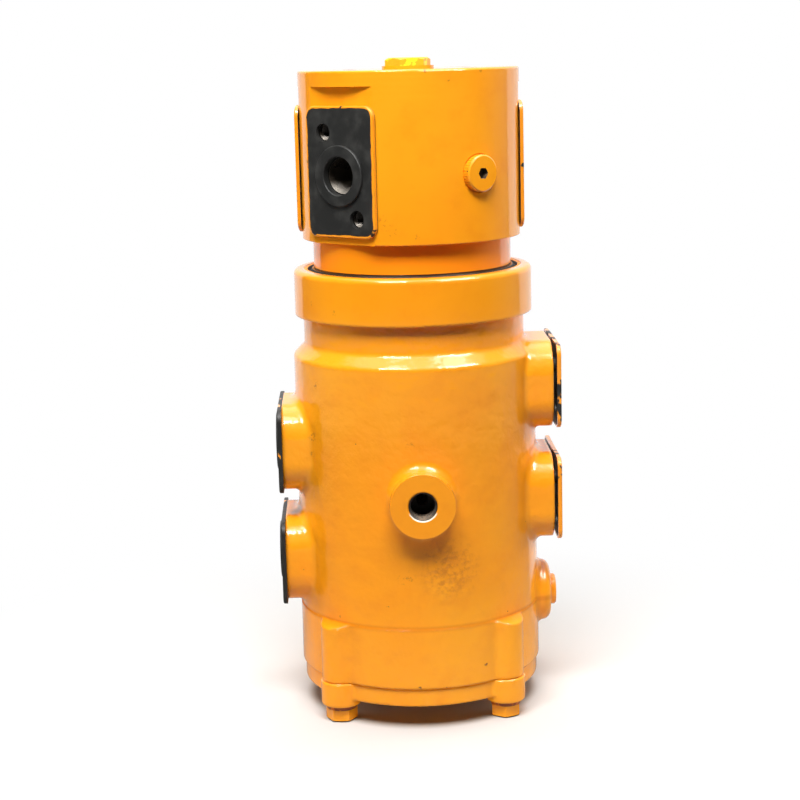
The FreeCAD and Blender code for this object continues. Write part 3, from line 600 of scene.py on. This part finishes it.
def port_axes(port):
    """Directions out of a port, across its flange and along the flange's long side."""
    out = Vector(port["axis"])
    level = Vector((-out.y, out.x, 0))
    if port["name"].startswith("head"):
        return out, level, UP
    return out, -UP, level


def guard_name(port):
    """Name of the node that guards a port."""
    return port["name"].replace("head_port_", "port_guard_head_").replace("body_port_", "port_guard_")


def on_side(side):
    """Ports of the head or of the body."""
    return [port for port in PORTS if port["name"].startswith(side)]


def flange_holes(port, corners):
    """Middles of a flange's tapped holes at those corners. The guard leaves OPEN_CORNERS open."""
    _, across, up = port_axes(port)
    middle = Vector(port["pos_m"])
    return [middle + across * (side * BOLT_SHORT / 2) + up * (level * BOLT_LONG / 2)
            for side, level in corners]


def top_holes():
    """Middles of the four tapped holes in the head's top, halfway between the row frame's axes."""
    spoke = Vector((TOP_HOLES["dims"]["pcd_mm"] / 2000, 0, 0))
    turns = [Matrix.Rotation(math.radians(45 + 90 * i), 3, "Z") for i in range(4)]
    return [Vector(TOP_HOLES["pos_m"]) + turn @ spoke for turn in turns]


def in_hole(point, middle, out, radius, depth):
    """True for a point within a hole that goes in from middle."""
    off = point - middle
    sunk = -off.dot(out)
    return PLANE_SLACK < sunk < depth and (off + out * sunk).length < radius


def paint_faces(node, material, test):
    """Gives a material to the faces of a node whose centre and normal pass the test."""
    node.data.materials.append(material)
    slot = len(node.data.materials) - 1
    for face in node.data.polygons:
        if test(face.center, face.normal):
            face.material_index = slot


def bare_shaded_spots(side):
    """Middle and radius of each place round a port's openings that its guard kept free of spray, painted
    black as shade.
    """
    found = []
    for port in on_side(side):
        found.append((port["pos_m"], PORT_BARE_RADIUS))
        found += [(hole, TAP_BARE_RADIUS) for hole in flange_holes(port, OPEN_CORNERS)]
    return found


def holes_on(side):
    """(middle, direction out, radius, depth) of the bores and flange holes of the head or the body."""
    found = []
    for port in on_side(side):
        out = Vector(port["axis"])
        bore = port["dims"]["r_mm"] / 1000 + HOLE_SLACK
        found.append((Vector(port["pos_m"]), out, bore, PORT_DEPTH))
        for hole in flange_holes(port, ALL_CORNERS):
            found.append((hole, out, TAP_RADIUS + HOLE_SLACK, TAP_DEPTH))
    return found


def dress():
    """Gives each CAD node its finish."""
    turned = turned_paint("orange_paint_turned")
    faced = turned_paint("orange_paint_faced", bare=bare_shaded_spots("body"))
    # The spindle's black line at the foot of the neck and its deeper orange under the head are painted
    # shade.
    on_spindle = turned_paint("orange_paint_spindle", HEAD_MARKS, bare_shaded_spots("head"),
                              NECK_SHADE_TOP, NECK_TOP)
    cast = cast_paint()
    steel = bare_steel()
    dark = shaded_bore()
    finishes = {"housing": cast, "bottom_cover": cast, "dust_seal": seal_rubber(), "top_plug": lemon()}
    for name in ("head_plug", "pilot_plug", "top_plug_washer", "pilot_plug_washer"):
        finishes[name] = turned
    finishes["spindle"] = on_spindle
    # The black at the foot of each bolt head is painted shade where it meets the floor.
    finishes["cover_bolts"] = turned_paint("orange_paint_bolts", black_shade_below=BOLT_SHADE_TOP)
    finishes["cover_spring_washers"] = shaded_washer()
    plain_rubber = Graph("black_rubber")
    rubber_look(plain_rubber, black(plain_rubber))
    for name in ("cover_o_ring", "head_plug_o_ring", "seal_energisers"):
        finishes[name] = plain_rubber.material
    metal = bronze()
    for name in ("upper_bush", "lower_bush", "upper_thrust_washer", "lower_thrust_washer"):
        finishes[name] = metal
    for port in PORTS:
        finishes[guard_name(port)] = guard_rubber(port)
    for name, node in NODES.items():
        node.data.materials.clear()
        node.data.materials.append(finishes.get(name, steel))
    dress_holes(steel, dark, faced)


def dress_holes(steel, dark, faced):
    """Bare metal inside the bores, black as painted shade in the deeper holes and the plug's socket, and
    smooth paint on the housing's machined faces.
    """
    housing = NODES["housing"]
    face_x = max(abs(port["pos_m"][0]) for port in on_side("body"))
    drain = Vector(DRAIN["pos_m"])
    out = Vector(DRAIN["axis"])
    paint_faces(housing, faced, lambda c, n: abs(abs(c.x) - face_x) < PLANE_SLACK and abs(n.x) > SQUARE)
    paint_faces(housing, faced, lambda c, n: c.y < drain.y - DRAIN_FACE and n.y < -SQUARE)
    body_holes = holes_on("body")
    paint_faces(housing, steel, lambda c, n: any(in_hole(c, *hole) for hole in body_holes))
    bore_top = RING_TOP - SEAL_DEPTH
    paint_faces(housing, steel, lambda c, n: math.hypot(c.x, c.y) < BORE_RADIUS and c.z < bore_top)
    lip = (drain + out * DRAIN_LIP, out, DRAIN_LIP_RADIUS, DRAIN_DEPTH)
    paint_faces(housing, chamfer(), lambda c, n: in_hole(c, *lip))
    # The drain hole is painted black as shade from a little way in.
    drain_bore = (drain - out * DRAIN_DARK_FROM, out, DRAIN_BORE_RADIUS, DRAIN_DEPTH)
    paint_faces(housing, dark, lambda c, n: in_hole(c, *drain_bore))
    # The plug's socket is painted black inside as shade.
    plug = NODES["head_plug"]
    away = sum((v.co for v in plug.data.vertices), Vector()) / len(plug.data.vertices)
    level = Vector((away.x, away.y, 0)).normalized()
    face = max(v.co.dot(level) for v in plug.data.vertices)
    socket = (level * face + UP * HEAD_PORT_Z, level, SOCKET_RADIUS, SOCKET_DEPTH)
    paint_faces(plug, dark, lambda c, n: in_hole(c, *socket))
    spindle = NODES["spindle"]
    head_holes = holes_on("head")
    # The head's top tapped holes are painted black inside as shade.
    tapped = [(hole, UP, TAP_RADIUS + HOLE_SLACK, TAP_DEPTH) for hole in top_holes()]
    paint_faces(spindle, dark, lambda c, n: any(in_hole(c, *hole) for hole in tapped))
    paint_faces(spindle, steel, lambda c, n: any(in_hole(c, *hole) for hole in head_holes))
    paint_faces(spindle, steel, lambda c, n: c.z < RING_BOTTOM and math.hypot(c.x, c.y) < STEM_RADIUS)


# Threads

def thread(name, middle, out, radius, pitch, body, material):
    """A helical thread whose crests stand inward in a drilled hole."""
    crest = CREST_HEIGHT * pitch
    across = out.orthogonal().normalized()
    beside = out.cross(across)
    profile = [(0.0, -ROOT_HALF), (crest, -CREST_HALF), (crest, CREST_HALF), (0.0, ROOT_HALF)]
    mesh = bmesh.new()
    steps = int(STEPS_PER_TURN * THREAD_LENGTH / pitch)
    last = None
    for i in range(steps + 1):
        angle = 2 * math.pi * i / STEPS_PER_TURN
        depth = pitch * (FIRST_TURN + i / STEPS_PER_TURN)
        spoke = across * math.cos(angle) + beside * math.sin(angle)
        ring = [mesh.verts.new(middle + spoke * (radius - inward) - out * (depth + pitch * shift))
                for inward, shift in profile]
        if last:
            for j in range(len(profile) - 1):
                mesh.faces.new((last[j], ring[j], ring[j + 1], last[j + 1]))
        last = ring
    bmesh.ops.recalc_face_normals(mesh, faces=mesh.faces)
    data = bpy.data.meshes.new(name)
    mesh.to_mesh(data)
    mesh.free()
    data.materials.append(material)
    piece = bpy.data.objects.new(name, data)
    bpy.context.scene.collection.objects.link(piece)
    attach(piece, body)


def threads():
    """Threads in the drain port, in the open flange holes and in the head's top."""
    steel = bpy.data.materials["bare_steel"]
    dark = bpy.data.materials["shaded_bore"]
    core = DRAIN["dims"]["r_mm"] / 1000
    # The drain's thread and the head's top threads are black as painted shade.
    thread("drain_thread", Vector(DRAIN["pos_m"]), Vector(DRAIN["axis"]), core, PIPE_PITCH, FIXED, dark)
    for port in PORTS:
        body = TURNING if port["name"].startswith("head") else FIXED
        out = Vector(port["axis"])
        for i, hole in enumerate(flange_holes(port, OPEN_CORNERS)):
            thread(f"{port['name']}_thread_{i}", hole, out, TAP_RADIUS, M12_PITCH, body, steel)
    for i, hole in enumerate(top_holes()):
        thread(f"head_top_thread_{i}", hole, UP, TAP_RADIUS, M12_PITCH, TURNING, dark)


# Stage

def floor():
    """Pale paper under the part, darker right under it as a painted shadow. Away from the part it fades
    into the white background.
    """
    mesh = bpy.data.meshes.new("floor")
    corners = [(x * FLOOR_HALF, y * FLOOR_HALF, 0) for x, y in ((-1, -1), (1, -1), (1, 1), (-1, 1))]
    mesh.from_pydata(corners, [], [(0, 1, 2, 3)])
    plane = bpy.data.objects.new("floor", mesh)
    plane.location.z = FLOOR_Z - FLOOR_GAP
    bpy.context.scene.collection.objects.link(plane)
    g = Graph("pale_floor")
    path = g.add("ShaderNodeLightPath")
    to_camera = path.outputs["Is Camera Ray"]
    glossy = path.outputs["Is Glossy Ray"]
    bounce = g.mix(g.ramp(g.from_axis(), *BOUNCE_SPAN), BOUNCE_FAR, BOUNCE_NEAR)
    # What the camera sees: a painted shadow under the part, then the pale paper
    seen_paper = g.mix(g.ramp(g.from_axis(), *SHADOW_SPAN), PAPER_SHADOW, PAPER)
    paper = g.mix(glossy, g.mix(to_camera, bounce, seen_paper), PAPER_IN_GLOSS)
    g.set(Base_Color=paper, Roughness=0.8, Specular_IOR_Level=0.1)
    g.set(Normal=g.bump(g.noise(40.0, 3.0), 0.0002))
    x, y = g.axes()[:2]
    away = g.ramp(g.from_axis(), *WHITE_SPAN)
    around = g.math("ARCTAN2", x, g.times(y, -1.0))
    far_right = g.ramp(around, math.radians(FAR_RIGHT - FAR_BLUR), math.radians(FAR_RIGHT + FAR_BLUR))
    far_left = g.ramp(around, math.radians(FAR_LEFT + FAR_BLUR), math.radians(FAR_LEFT - FAR_BLUR))
    raised = g.times(g.ramp(g.from_axis(), *MIDDLE_SPAN), GLOW_MIDDLE)
    fallen = g.times(g.ramp(g.from_axis(), *FADE_SPAN), GLOW_FADE)
    front = g.math("SUBTRACT", g.math("ADD", GLOW, raised), fallen)
    mirrored = g.math("MINIMUM", g.math("ADD", front, g.math("ADD", far_right, far_left)), 1.0)
    strength = g.math("ADD", to_camera, g.times(glossy, mirrored))
    white = g.add("ShaderNodeEmission", {"Strength": strength, "Color": (1, 1, 1, 1)})
    seen = g.times(away, g.most(to_camera, glossy))
    both = g.add("ShaderNodeMixShader", {0: seen, 1: g.shader.outputs[0], 2: white.outputs[0]})
    g.tree.links.new(both.outputs[0], g.tree.nodes["Material Output"].inputs["Surface"])
    mesh.materials.append(g.material)


def world():
    """White where the camera looks. The gloss mirrors bright far sides, a dim front and a bright top."""
    made = bpy.data.worlds.new("studio")
    bpy.context.scene.world = made
    made.use_nodes = True
    tree = made.node_tree
    tree.nodes.clear()

    def add(kind, inputs, **settings):
        node = tree.nodes.new(kind)
        for key, value in settings.items():
            setattr(node, key, value)
        for key, value in inputs.items():
            if isinstance(value, bpy.types.NodeSocket):
                tree.links.new(value, node.inputs[key])
            else:
                node.inputs[key].default_value = value
        return node

    def step(value, low, high, level):
        return add("ShaderNodeMapRange", {0: value, 1: low, 2: high, 4: level}).outputs[0]

    def math_node(operation, a, b):
        return add("ShaderNodeMath", {0: a, 1: b}, operation=operation).outputs[0]

    place = add("ShaderNodeTexCoord", {}).outputs["Generated"]
    axes = add("ShaderNodeSeparateXYZ", {0: place}).outputs
    around = math_node("ARCTAN2", axes[0], math_node("MULTIPLY", axes[1], -1.0))
    far_right = step(around, math.radians(FAR_RIGHT - FAR_BLUR), math.radians(FAR_RIGHT + FAR_BLUR), 1.0)
    far_left = step(around, math.radians(FAR_LEFT + FAR_BLUR), math.radians(FAR_LEFT - FAR_BLUR), 1.0)
    sides = math_node("ADD", far_right, far_left)
    overhead = step(axes[2], OVERHEAD_FROM, OVERHEAD_FULL, OVERHEAD)
    mirrored = math_node("ADD", math_node("ADD", sides, DIM), overhead)
    soft = math_node("ADD", math_node("MULTIPLY", sides, SIDES_SHARE), AMBIENT)
    path = add("ShaderNodeLightPath", {}).outputs
    glossy = add("ShaderNodeMix", {
        "Factor": path["Is Glossy Ray"], "A": soft, "B": mirrored}, data_type="FLOAT").outputs[0]
    level = add("ShaderNodeMix", {
        "Factor": path["Is Camera Ray"], "A": glossy, "B": 1.0}, data_type="FLOAT").outputs[0]
    background = add("ShaderNodeBackground", {"Color": (1, 1, 1, 1), "Strength": level})
    add("ShaderNodeOutputWorld", {"Surface": background.outputs[0]})


def softbox(name, azimuth, elevation, width, height, power, mirrored):
    """A lamp aimed at the part. It only lights the part, or if mirrored only shows in the part's gloss."""
    light = bpy.data.lights.new(name, "AREA")
    light.shape = "RECTANGLE"
    light.size = width
    light.size_y = height
    light.energy = power
    lamp = bpy.data.objects.new(name, light)
    turn = math.radians(azimuth)
    lift = math.radians(elevation)
    away = Vector((math.sin(turn) * math.cos(lift), -math.cos(turn) * math.cos(lift), math.sin(lift)))
    lamp.location = LAMP_AIM + away * LAMP_DISTANCE
    lamp.rotation_mode = "QUATERNION"
    lamp.rotation_quaternion = (-away).to_track_quat("-Z", "Y")
    lamp.visible_glossy = mirrored
    lamp.visible_diffuse = not mirrored
    bpy.context.scene.collection.objects.link(lamp)


def lights():
    """The lamps of both kinds."""
    for lamp in LAMPS:
        softbox(*lamp, mirrored=False)
    for lamp in GLOSS_LAMPS:
        softbox(*lamp, mirrored=True)


def camera():
    """Camera at the photograph's place, turned and rolled as it was."""
    data = bpy.data.cameras.new("camera")
    data.sensor_width = CAMERA_SENSOR
    data.lens = CAMERA_LENS
    made = bpy.data.objects.new("camera", data)
    bpy.context.scene.collection.objects.link(made)
    ahead = Vector((math.sin(CAMERA_YAW) * math.cos(CAMERA_PITCH),
                    math.cos(CAMERA_YAW) * math.cos(CAMERA_PITCH), -math.sin(CAMERA_PITCH)))
    level = Vector((math.cos(CAMERA_YAW), -math.sin(CAMERA_YAW), 0.0))
    upright = level.cross(ahead)
    right = math.cos(CAMERA_ROLL) * level + math.sin(CAMERA_ROLL) * upright
    up = math.cos(CAMERA_ROLL) * upright - math.sin(CAMERA_ROLL) * level
    turn = Matrix.Rotation(CAMERA_AZIMUTH, 4, "Z")
    facing = Matrix((right, up, -ahead)).transposed().to_4x4()
    place = Matrix.Translation((0.0, -CAMERA_DISTANCE, CAMERA_HEIGHT))
    made.matrix_world = turn @ place @ facing
    bpy.context.scene.camera = made


camera()
world()
lights()
floor()
dress()
threads()
bpy.context.scene.view_settings.view_transform = "Standard"
